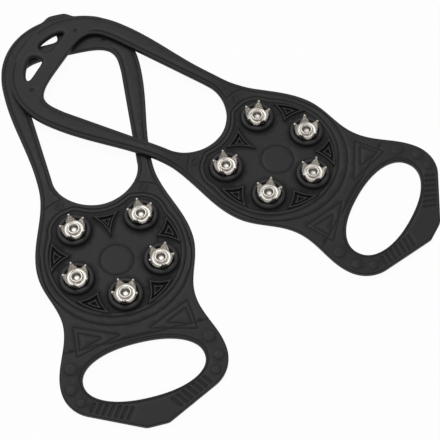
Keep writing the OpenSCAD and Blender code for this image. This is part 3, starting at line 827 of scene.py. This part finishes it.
# %% The dimples, the drops and the pull tab
DIMPLE_SPOT, DIMPLE_R, DIMPLE_DEEP, DIMPLE_STEP = (24.3, 147.0), 0.9, 0.5, 0.8
DIMPLE_LINES = (0.5, 0.9, 1.3)
DISH_WIDE, DISH_MIDDLE, DISH_DEEP, DISH_CURVE = 1.6, 1.0, 0.8, 1.4
HEEL_RING = outer_edge(0)
TAB_STEP, STEP_WIDE, TAB_DROP, TAB_REACH, REACH_FADE = 1.2, 0.8, 0.6, 10.0, 3
for side in (-1, 1):
    rules.extend(ring(side * DIMPLE_SPOT[0], DIMPLE_SPOT[1], r, 0.5) for r in DIMPLE_LINES)
for drop in DROPS:
    rule(drop, -DISH_MIDDLE, -DISH_WIDE)
for d in GROOVE:
    line = shifted(HEEL_RING, TAB_STEP + d)
    open_rules.append(line[(line[:, 1] > SHOULDER_END) & (np.abs(line[:, 0]) < TAB_REACH - 1)])


@mark
def heel_marks(p, z):
    x, y = np.abs(p[:, 0]), p[:, 1]
    dimple = np.hypot(x - DIMPLE_SPOT[0], y - DIMPLE_SPOT[1]) - DIMPLE_R
    z -= DIMPLE_DEEP * (1 - soft(dimple, DIMPLE_STEP))
    tab = 1 - soft(-gap_to(p, HEEL_RING) - TAB_STEP, STEP_WIDE)
    z -= TAB_DROP * tab * soft(TAB_REACH - x, REACH_FADE) * soft(y - SHOULDER_END, SHORT_FADE)
    drop = np.minimum(*(gap_to(p, line) for line in DROPS))
    return z - DISH_DEEP * (1 - np.clip(drop / DISH_WIDE, 0, 1)) ** DISH_CURVE


print("marks:", len(marks), "rules:", len(rules) + len(open_rules))

# %% [markdown]
# ## From lines to a mesh
#
# Blender can triangulate a flat drawing so that every drawn line stays an edge. That gives the upper
# face: the drawing is triangulated, each corner is raised to the relief's height, and the edge is
# rounded off towards the rim. A few straight lines across the rubber give it edges where it will bend,
# and loose points fill the wide areas.

# %% Triangulate the upper face
THICK = 3.0
SPLIT = -47.4
FOLD_LINES = [SPLIT, *np.arange(-56, -48, 0.8), *np.arange(34, 70, 1.2)]
LOOSE_TOP, ROOM, WELD = 2.4, 0.45, 1e-4


def drawing(closed, opened, step):
    """Triangles of the area inside the rubber, along the given lines and a loose filling of points."""
    points, edges = [], []
    across = np.arange(-50, 51, 2.0)
    folds = [np.c_[across, np.full(len(across), y)] for y in FOLD_LINES]
    for lines, closes in ((closed, True), (opened + folds, False)):
        for line in lines:
            first = len(points)
            points += list(map(tuple, line))
            edges += [(i, i + 1) for i in range(first, len(points) - 1)]
            edges += [(len(points) - 1, first)] * closes
    tree = search_tree(points)
    (x0, y0), (x1, y1) = OUTER.min(0), OUTER.max(0)
    for row, y in enumerate(np.arange(y0, y1, step)):
        for x in np.arange(x0 + step / 2 * (row % 2), x1, step):
            if tree.find((x, y, 0))[2] > step * ROOM:
                points.append((float(x), float(y)))
    flat, _, faces, *_ = delaunay_2d_cdt([Vector(p) for p in points], edges, [], 0, WELD)
    flat, faces = np.array([tuple(v) for v in flat]), np.array(faces)
    return flat, faces[rim_gap(flat[faces].mean(1)) > 0]


def quarter_round(p, r):
    """How far below its level a face lies, near the rim, when the edge is rounded with this radius."""
    t = np.clip(rim_gap(p), 0, r)
    return r - np.sqrt(r * r - (r - t) ** 2)


flat_top, faces_top = drawing(rules, open_rules, LOOSE_TOP)
relief = np.full(len(flat_top), THICK)
for change in marks:
    relief = change(flat_top, relief)
top = np.c_[flat_top, relief - quarter_round(flat_top, TOP_ROUND)]
print("upper face:", len(top), "points,", len(faces_top), "triangles")

# %% [markdown]
# ## The sole face
#
# The side that meets the shoe is plain, apart from five round seats that take the rivets' heads. It is
# drawn and triangulated in the same way, with fewer lines, because a copy of the upper face would carry
# the edges of every mark for nothing.

# %% The sole face, with its seats for the rivet heads
HEAD_SEAT = np.array([(0, 1.1), (6.1, 1.1), (6.25, 1.0), (6.35, 0.3), (6.5, 0.08), (6.8, 0)])
SOLE_ROUND, SOLE_STEPS, LOOSE_SOLE = 0.4, (0, 0.08, 0.3, 0.6, 1.0), 3.2
rules_sole = edge_lines(SOLE_ROUND, SOLE_STEPS)
for stud in STUDS:
    rules_sole += [ring(stud.x, stud.y, r, 1.2) for r in HEAD_SEAT[1:, 0]]
flat_sole, faces_sole = drawing(rules_sole, [], LOOSE_SOLE)
level = np.zeros(len(flat_sole))
for stud in STUDS:
    r = np.hypot(flat_sole[:, 0] - stud.x, flat_sole[:, 1] - stud.y)
    level = np.maximum(level, np.interp(r, HEAD_SEAT[:, 0], HEAD_SEAT[:, 1]))
sole = np.c_[flat_sole, level + quarter_round(flat_sole, SOLE_ROUND)]
print("sole face:", len(sole), "points,", len(faces_sole), "triangles")

# %% [markdown]
# ## The wall
#
# The two faces have the same rims, so an upright wall joins them: each edge at the upper rim gets one
# face down to the nearest points of the lower rim. Blender's Bridge tool does the same by hand, but here
# the pairs of points are known.


# %% The wall between the two faces
def rim_edges(faces):
    """The edges that belong to one triangle only."""
    ends = np.vstack([faces[:, [0, 1]], faces[:, [1, 2]], faces[:, [2, 0]]])
    _, first, count = np.unique(np.sort(ends, axis=1), axis=0, return_index=True, return_counts=True)
    return ends[first[count == 1]]


upper_rim, lower_rim = rim_edges(faces_top), np.unique(rim_edges(faces_sole))
below = search_tree(flat_sole[lower_rim].tolist())
match, mismatch = {}, 0
for i in np.unique(upper_rim).tolist():
    _, nearest, gap = below.find((*flat_top[i], 0))
    match[i] = int(lower_rim[nearest]) + len(top)
    mismatch = max(mismatch, gap)
wall = np.array([(b, a, match[a], match[b]) for a, b in upper_rim.tolist() if match[a] != match[b]])
print("wall:", len(wall), "faces, widest mismatch", round(mismatch, 4), "mm")

# %% [markdown]
# ## Three masks for the finish
#
# Paler edges, painted shade in the grooves and painted light from above follow the shape, so the masks
# come from it. A point is proud where it stands above the average of its neighbours and sunk where it
# lies below. The painted light from above is strongest where the surface looks straight up, and falls off
# quickly on slopes. Painting the masks by hand would have to be done again after every change of shape.

# %% Proud, sunk and top light
CELL, SPREAD, FULL, TOP_LIGHT_FALL = 0.5, 5, 0.45, 4


def neighbourhood(p, values, rounds):
    """The average of the values round each point, over a few millimetres."""
    cell = tuple(((p - p.min(0)) / CELL).astype(int).T + 2)
    total, count = np.zeros((2, *(max(c) + 3 for c in cell)))
    np.add.at(total, cell, values)
    np.add.at(count, cell, 1)
    total, count = np.where(count > 0, total / np.maximum(count, 1), 0), (count > 0).astype(float)
    for _ in range(rounds):
        for axis in (0, 1):
            total, count = ((np.roll(g, 1, axis) + 2 * g + np.roll(g, -1, axis)) / 4 for g in (total, count))
    return total[cell] / count[cell]


stands = (relief - neighbourhood(flat_top, relief, SPREAD)) / FULL
a, b, c = (top[faces_top[:, i]] for i in range(3))
lean = np.cross(b - a, c - a)
upward = np.zeros((len(top), 3))
for i in range(3):
    np.add.at(upward, faces_top[:, i], lean)
upward = np.abs(upward[:, 2]) / np.maximum(np.linalg.norm(upward, axis=1), 1e-9)
# The third mask paints light from above, strongest on faces that look straight up.
MASKS = {"proud": np.clip(stands, 0, 1), "sunk": np.clip(-stands, 0, 1), "top_light": upward ** TOP_LIGHT_FALL}
print({name: round(float(m.mean()), 3) for name, m in MASKS.items()})

# %% [markdown]
# ## Cut the rubber in two
#
# A cleat bends at two places, and a piece can follow one bend only. So each cleat is cut across, between
# its pad and its toe hole, where the rubber follows the pad whatever bends. Both parts need a face at the
# cut to be closed. Filling the cut's outline leaves slivers, so a strip of triangles zips its upper line
# to its lower one.


# %% The face of the cut
def cut_line(flat, faces):
    """The points of a face that lie on the cut, from one side to the other."""
    used = np.unique(faces)
    line = used[np.abs(flat[used, 1] - SPLIT) < WELD * 10]
    return line[np.argsort(flat[line, 0])]


def cut_face():
    """Triangles that close the rubber where it is cut."""
    upper, lower = cut_line(flat_top, faces_top), cut_line(flat_sole, faces_sole)
    upper_x, lower_x = np.append(flat_top[upper, 0], np.inf), np.append(flat_sole[lower, 0], np.inf)
    upper, lower = upper.tolist(), (lower + len(top)).tolist()
    strip, i, j = [], 0, 0
    while i + j < len(upper) + len(lower) - 2:
        if upper_x[i + 1] <= lower_x[j + 1]:
            strip.append((upper[i], upper[i + 1], lower[j]))
            i += 1
        else:
            strip.append((upper[i], lower[j + 1], lower[j]))
            j += 1
    return strip


CUT = cut_face()
print("cut:", len(CUT), "triangles")

# %% [markdown]
# ## Lay the two cleats down
#
# The left cleat lies flat. The right one's heel loop rests on the left loop, so its straps rise over a
# short stretch that starts in the pad's root. Both heel loops sway a little to one side, as rubber does
# when it is dropped. A simulation could drop them, but where they come to rest is known, so their points
# are moved there. Each part then becomes one closed mesh.

# %% Where the rubber lies
LIFT, RISE_FROM, RISE_TO = 3.3, 34.0, 64.0
SWAY = {"left": math.tan(math.radians(-0.4)), "right": math.tan(math.radians(1.5))}


def lay(points, side):
    """Moves flat points to where this cleat's rubber lies, in metres."""
    p = points.copy()
    p[:, 0] -= SWAY[side] * np.maximum(p[:, 1] - HEEL_BEND, 0)
    if side == "right":
        p[:, 2] += LIFT * soft((p[:, 1] - RISE_FROM) / (RISE_TO - RISE_FROM) - 0.5, 1)
    m = np.array(PLACES[side])
    return p @ m[:3, :3].T + m[:3, 3]


def inside(side, y):
    """The point inside this cleat's rubber, on its middle line, at this place along it."""
    return PLACES[side] @ Vector((0, y, THICK / 2))


print("right heel tip:", lay(np.array([(0, HEEL_TIP, 0)]), "right").round(4), "m")

# %% The rubber pieces
TWINS = 0.004


def rubber_piece(name, side, wanted):
    """One closed piece of a cleat: the faces whose middles are wanted, and the cut's face."""
    flat = np.vstack([flat_top, flat_sole])[:, 1]
    faces = []
    for kind in (faces_top, faces_sole[:, ::-1] + len(top), wall):
        faces += kind[wanted(flat[kind].mean(1))].tolist()
    mesh = bpy.data.meshes.new(name)
    mesh.from_pydata(lay(np.vstack([top, sole]), side).tolist(), [], faces + CUT)
    mesh.polygons.foreach_set("use_smooth", [True] * len(faces) + [False] * len(CUT))
    for mask_name, values in MASKS.items():
        stored = mesh.attributes.new(mask_name, "FLOAT", "POINT")
        stored.data.foreach_set("value", np.r_[values, np.zeros(len(sole))])
    shape = bmesh.new()
    shape.from_mesh(mesh)
    bmesh.ops.delete(shape, geom=[v for v in shape.verts if not v.link_faces], context="VERTS")
    bmesh.ops.remove_doubles(shape, verts=shape.verts, dist=TWINS * MM)
    bmesh.ops.recalc_face_normals(shape, faces=shape.faces)
    loose = sum(not e.is_manifold for e in shape.edges)
    shape.to_mesh(mesh)
    shape.free()
    mesh.materials.append(RUBBER)
    piece = add(name, mesh)
    print(name, len(mesh.polygons), "faces,", loose, "open edges")
    return piece


for side in PLACES:
    body = rubber_piece(side + "_pad_and_heel", side, lambda y: y > SPLIT)
    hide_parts(side + "_pad", side + "_heel_loop")
    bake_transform(body)
    toe = rubber_piece(side + "_toe", side, lambda y: y < SPLIT)
    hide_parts(side + "_toe_loop")
    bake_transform(toe)

# %% [markdown]
# ## The crowns
#
# A crown is stamped from one round of sheet steel: the middle is pressed into a low step round the
# rivet's hole, and five teeth are bent up and lean outwards. So it is made as a sheet: a line from the
# hole out to the rim and up a tooth is swept round the middle, and each stretch is cut off where the
# tooth ends. Solidify gives the sheet its thickness and Bevel breaks its stamped edges.

# %% The line of a tooth and its columns
TEETH, TOOTH_LONG, TOOTH_HALF, TIP_HALF, FLARE = 5, 5.3, 2.6, 0.5, 1.35
LEAN, CURL, TOOTH_ROWS = math.radians(9), 0.05, 14
UP_TOOTH = (0.0, 0.08, 0.2, 0.35, 0.5, 0.65, 0.8, 0.92, 1.0)
FLOOR_LINE = [
    (3.1, 1.13), (3.5, 1.15), (3.86, 1.14), (4.0, 1.05), (4.1, 0.93), (4.25, 0.88), (4.8, 0.92), (5.25, 1.0),
]
ROOT = Vector((5.5, 1.2))
TIP_COLUMNS, GAP_COLUMNS = [(0.0, 1.0), (0.3, 0.985)], [(3.2, 0.0), (3.4, 0.0)]


def sheet_line(v):
    """The sheet's line from the hole to a share v of a tooth's length, as radius and height."""
    line = [Vector(p) for p in FLOOR_LINE]
    for s in UP_TOOTH:
        tilt = LEAN + CURL * s
        line.append(ROOT + v * s * TOOTH_LONG * Vector((math.sin(tilt), math.cos(tilt))))
    return line


def tooth_columns():
    """Places across a tooth and half of the gaps beside it, each with the share of its length there."""
    lengths = np.linspace(1, 0, TOOTH_ROWS)
    widths = TIP_HALF + (TOOTH_HALF - TIP_HALF) * (1 - lengths) ** FLARE
    half = TIP_COLUMNS + list(zip(widths[1:].tolist(), lengths[1:].tolist())) + GAP_COLUMNS
    return [(-across, v) for across, v in half[:0:-1]] + half


print("columns across a tooth:", len(tooth_columns()))

# %% Sweep the crown's sheet
SHEET_TWINS = 0.003


def crown_sheet():
    """The crown as a thin sheet, teeth up, about its own middle, in metres."""
    sheet = bmesh.new()
    columns = tooth_columns()
    for k in range(TEETH):
        rows = []
        for across, v in columns:
            in_gap = abs(across) == GAP_COLUMNS[-1][0]
            angle = math.copysign(math.pi / TEETH, across) if in_gap else across / ROOT.x
            line = []
            for r, z in sheet_line(v):
                turn = 2 * math.pi * k / TEETH + angle * ROOT.x / max(ROOT.x, r)
                line.append(sheet.verts.new((r * math.cos(turn) * MM, r * math.sin(turn) * MM, z * MM)))
            rows.append(line)
        for left, right in zip(rows, rows[1:]):
            for i in range(len(left) - 1):
                sheet.faces.new((left[i], left[i + 1], right[i + 1], right[i]))
    bmesh.ops.remove_doubles(sheet, verts=sheet.verts, dist=SHEET_TWINS * MM)
    bmesh.ops.recalc_face_normals(sheet, faces=sheet.faces)
    mesh = bpy.data.meshes.new("crown_sheet")
    sheet.to_mesh(mesh)
    sheet.free()
    return mesh


SHEET = crown_sheet()
print("crown sheet:", len(SHEET.polygons), "faces")

# %% [markdown]
# ## From a sheet to steel
#
# Solidify thickens the sheet on the side that its normals point away from. An open sheet has no inside,
# so its normals may all point down after they are made alike, and then they are turned up first.

# %% The crown's thickness and edges
PLATE, BROKEN_EDGE, BEVEL_FROM = 0.85, 0.13, math.radians(50)


def solid_from(mesh, name, thickness, edge):
    """The sheet given thickness below itself and broken edges, as a finished mesh."""
    holder = add(name, mesh)
    thick = holder.modifiers.new("thickness", "SOLIDIFY")
    thick.thickness, thick.offset, thick.use_even_offset = thickness * MM, -1, True
    bevel = holder.modifiers.new("edge", "BEVEL")
    bevel.width, bevel.segments = edge * MM, 2
    bevel.limit_method, bevel.angle_limit = "ANGLE", BEVEL_FROM
    made = bpy.data.meshes.new_from_object(holder.evaluated_get(bpy.context.evaluated_depsgraph_get()))
    bpy.data.objects.remove(holder)
    made.name = name
    made.shade_smooth()
    return made


if sum(p.normal.z for p in SHEET.polygons) < 0:
    SHEET.flip_normals()
CROWN = solid_from(SHEET, "crown", PLATE, BROKEN_EDGE)
across = np.ptp(np.array([v.co for v in CROWN.vertices]), axis=0) / MM
print("crown:", len(CROWN.polygons), "faces,", across.round(2), "mm")

# %% [markdown]
# ## Ten crowns
#
# All the crowns share one mesh, each at its own angle, because nothing keys them to the pad. The teeth
# keep their bright colour while the plate below them gets painted shade and more roughness, so the mask
# of bright steel grows with height.

# %% Painted shade on the steel, and the crowns in place
# The pool's brightness paints a pool of light on the floor of each rivet's hollow.
CROWN_LEVEL, POOL_BRIGHT = 4.25, 1.3
TURNS = {"left": [26, 20, 56, 37, 29], "right": [43, 20, 37, 13, 17]}


def painted_shade_mask(mesh, middle, low, high, pool=None):
    """Stores where the steel keeps its bright colour, away from a middle height and, with a pool, close to
    the axis; elsewhere it gets painted shade.
    """
    x, y, z = np.array([v.co for v in mesh.vertices]).T / MM
    bright = (np.abs(z - middle) - low) / (high - low)
    # The pool paints a pool of light near the axis.
    if pool:
        bright = np.maximum(bright, POOL_BRIGHT - np.hypot(x, y) / pool)
    stored = mesh.attributes.new("proud", "FLOAT", "POINT")
    stored.data.foreach_set("value", np.clip(bright, 0, 1))


def put(mesh, name, body, place, material, slot, *nodes):
    """A piece with this mesh, standing for these nodes and riding on this body."""
    piece = add(name, mesh)
    if not mesh.materials:
        mesh.materials.append(material)
    piece.matrix_world = place
    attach(piece, body)
    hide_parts(*nodes)


# The crown's plate low down gets painted shade, and its teeth stay bright.
painted_shade_mask(CROWN, middle=0, low=0.3, high=3.0)
for side, place in PLACES.items():
    for i, stud in enumerate(STUDS):
        spot = Matrix.Translation(place @ Vector((*stud, CROWN_LEVEL)))
        turn = Matrix.Rotation(place.to_euler().z + math.radians(TURNS[side][i]), 4, "Z")
        name = f"{side}_crown_{i + 1}"
        put(CROWN, name + "_steel", name, spot @ turn, CROWN_STEEL, "crown_steel", name)
print("crowns placed:", 2 * len(STUDS))

# %% [markdown]
# ## The rivets
#
# Each rivet has a flat head under the pad, a shank, and a hollow end that is rolled outwards over the
# crown. It is round all the way, so one profile spun round its axis makes it. The profile runs from the
# middle of the head, out, up the shank, over the rolled bead and down into the hollow. The walls of the
# hollow get painted shade, and its floor gets a painted pool of light.

# %% The rivet's profile, spun
BEAD, BEAD_R, BEAD_LEVEL = 0.65, 3.0, 6.1
SPIN_STEPS, SPUN_TWINS = 44, 0.002
HEAD = [(0, 0.3), (3, 0.3), (5.55, 0.31), (5.85, 0.4), (6.0, 0.6), (6.0, 0.8), (5.85, 1.0), (5.6, 1.09)]
SHANK = [(3.1, 1.1), (3.0, 1.2), (3.0, 5.42)]
HOLLOW = [(2.3, 6.2), (2.12, 5.95), (2.06, 5.5), (2.0, 5.0), (1.88, 4.72), (1.5, 4.56), (0.8, 4.5), (0, 4.5)]
rolled = np.radians(np.arange(-75, 151, 15))
bead = [(BEAD_R + BEAD * math.cos(a), BEAD_LEVEL + BEAD * math.sin(a)) for a in rolled]


def spun(name, profile, steps):
    """The profile, given as radius and height, spun round the Z axis."""
    shape = bmesh.new()
    line = [shape.verts.new((r * MM, 0, z * MM)) for r, z in profile]
    edges = [shape.edges.new(pair) for pair in zip(line, line[1:])]
    bmesh.ops.spin(shape, geom=line + edges, axis=(0, 0, 1), cent=(0, 0, 0), angle=2 * math.pi, steps=steps)
    bmesh.ops.remove_doubles(shape, verts=shape.verts, dist=SPUN_TWINS * MM)
    bmesh.ops.recalc_face_normals(shape, faces=shape.faces)
    mesh = bpy.data.meshes.new(name)
    shape.to_mesh(mesh)
    shape.free()
    mesh.shade_smooth()
    return mesh


RIVET = spun("rivet", HEAD + SHANK + bead + HOLLOW, SPIN_STEPS)
# The walls of the hollow get painted shade, and its floor keeps a painted pool of light.
painted_shade_mask(RIVET, middle=3.0, low=2.3, high=2.9, pool=1.15)
for side, place in PLACES.items():
    for i, stud in enumerate(STUDS):
        spot = Matrix.Translation(place @ Vector((*stud, 0)))
        name = f"{side}_rivet_{i + 1}"
        put(RIVET, name + "_steel", side + "_base", spot, RIVET_STEEL, "rivet_steel", name)
print("rivet:", len(RIVET.polygons), "faces, placed", 2 * len(STUDS))

# %% [markdown]
# ## The floor
#
# The photograph is a product shot on plain white with hardly a shadow. The floor is pale, and a Light
# Path node lets the camera and the steel see it as white while it still takes and bounces light. More
# light would whiten it too, but would wash out the rubber.

# %% The floor
PAPER_GREY, PAPER_WHITE = (0.86, 0.86, 0.86, 1), (1, 1, 1, 1)
WHITE_SHARE, FLOOR_HALF, FLOOR_LEVEL = 0.95, 3, -0.0002
wire, shader, PAPER = finish("paper", Base_Color=PAPER_GREY, Roughness=0.9, Specular_IOR_Level=0.1)
kinds = ("Is Camera Ray", "Is Glossy Ray", "Is Transmission Ray")
direct, mirror, glass = (wire.make("ShaderNodeLightPath", out=kind) for kind in kinds)
seen = wire.maths("MAXIMUM", wire.maths("MAXIMUM", direct, mirror), glass)
white = wire.make("ShaderNodeEmission", Color=PAPER_WHITE, Strength=1.0)
lit = Wire(wire.tree, shader.outputs[0])
shown = wire.make("ShaderNodeMixShader", i0=seen * WHITE_SHARE, i1=lit, i2=white)
wire.tree.links.new(shown.socket, wire.tree.nodes["Material Output"].inputs["Surface"])
sheet = bpy.data.meshes.new("floor")
corners = [(x * FLOOR_HALF, y * FLOOR_HALF, FLOOR_LEVEL) for x, y in ((-1, -1), (1, -1), (1, 1), (-1, 1))]
sheet.from_pydata(corners, [], [(0, 1, 2, 3)])
sheet.materials.append(PAPER)
floor = add("floor", sheet)
print("floor nodes:", len(wire.tree.nodes))

# %% [markdown]
# ## The light
#
# A light tent lights black rubber and steel from all round. A plain white sky does that here, and one
# wide lamp overhead, a little behind the cleats, gives the soft gradient along the raised edges. Small
# hard lamps would put sharp spots on the steel that the photograph doesn't have.

# %% The lamp and the sky
SKY, LAMP_SIZE, LAMP_WATTS = 0.55, 1.3, 11.8
LAMP_SPOT, LAMP_TARGET = Vector((-0.2, 0.96, 1.76)), Vector((0.06, 0.04, 0))
world = bpy.context.scene.world or bpy.data.worlds.new("tent")
bpy.context.scene.world = world
world.use_nodes = True
sky = world.node_tree.nodes["Background"]
sky.inputs["Color"].default_value = (1, 1, 1, 1)
sky.inputs["Strength"].default_value = SKY
light = bpy.data.lights.new("overhead", "AREA")
light.shape, light.size, light.energy = "DISK", LAMP_SIZE, LAMP_WATTS
lamp = add("overhead", light)
lamp.location = LAMP_SPOT
lamp.rotation_euler = (LAMP_TARGET - LAMP_SPOT).to_track_quat("-Z", "Y").to_euler()
bpy.context.scene.view_settings.view_transform = "Standard"
print("lamp:", lamp.name, "at", [round(c, 2) for c in lamp.location])
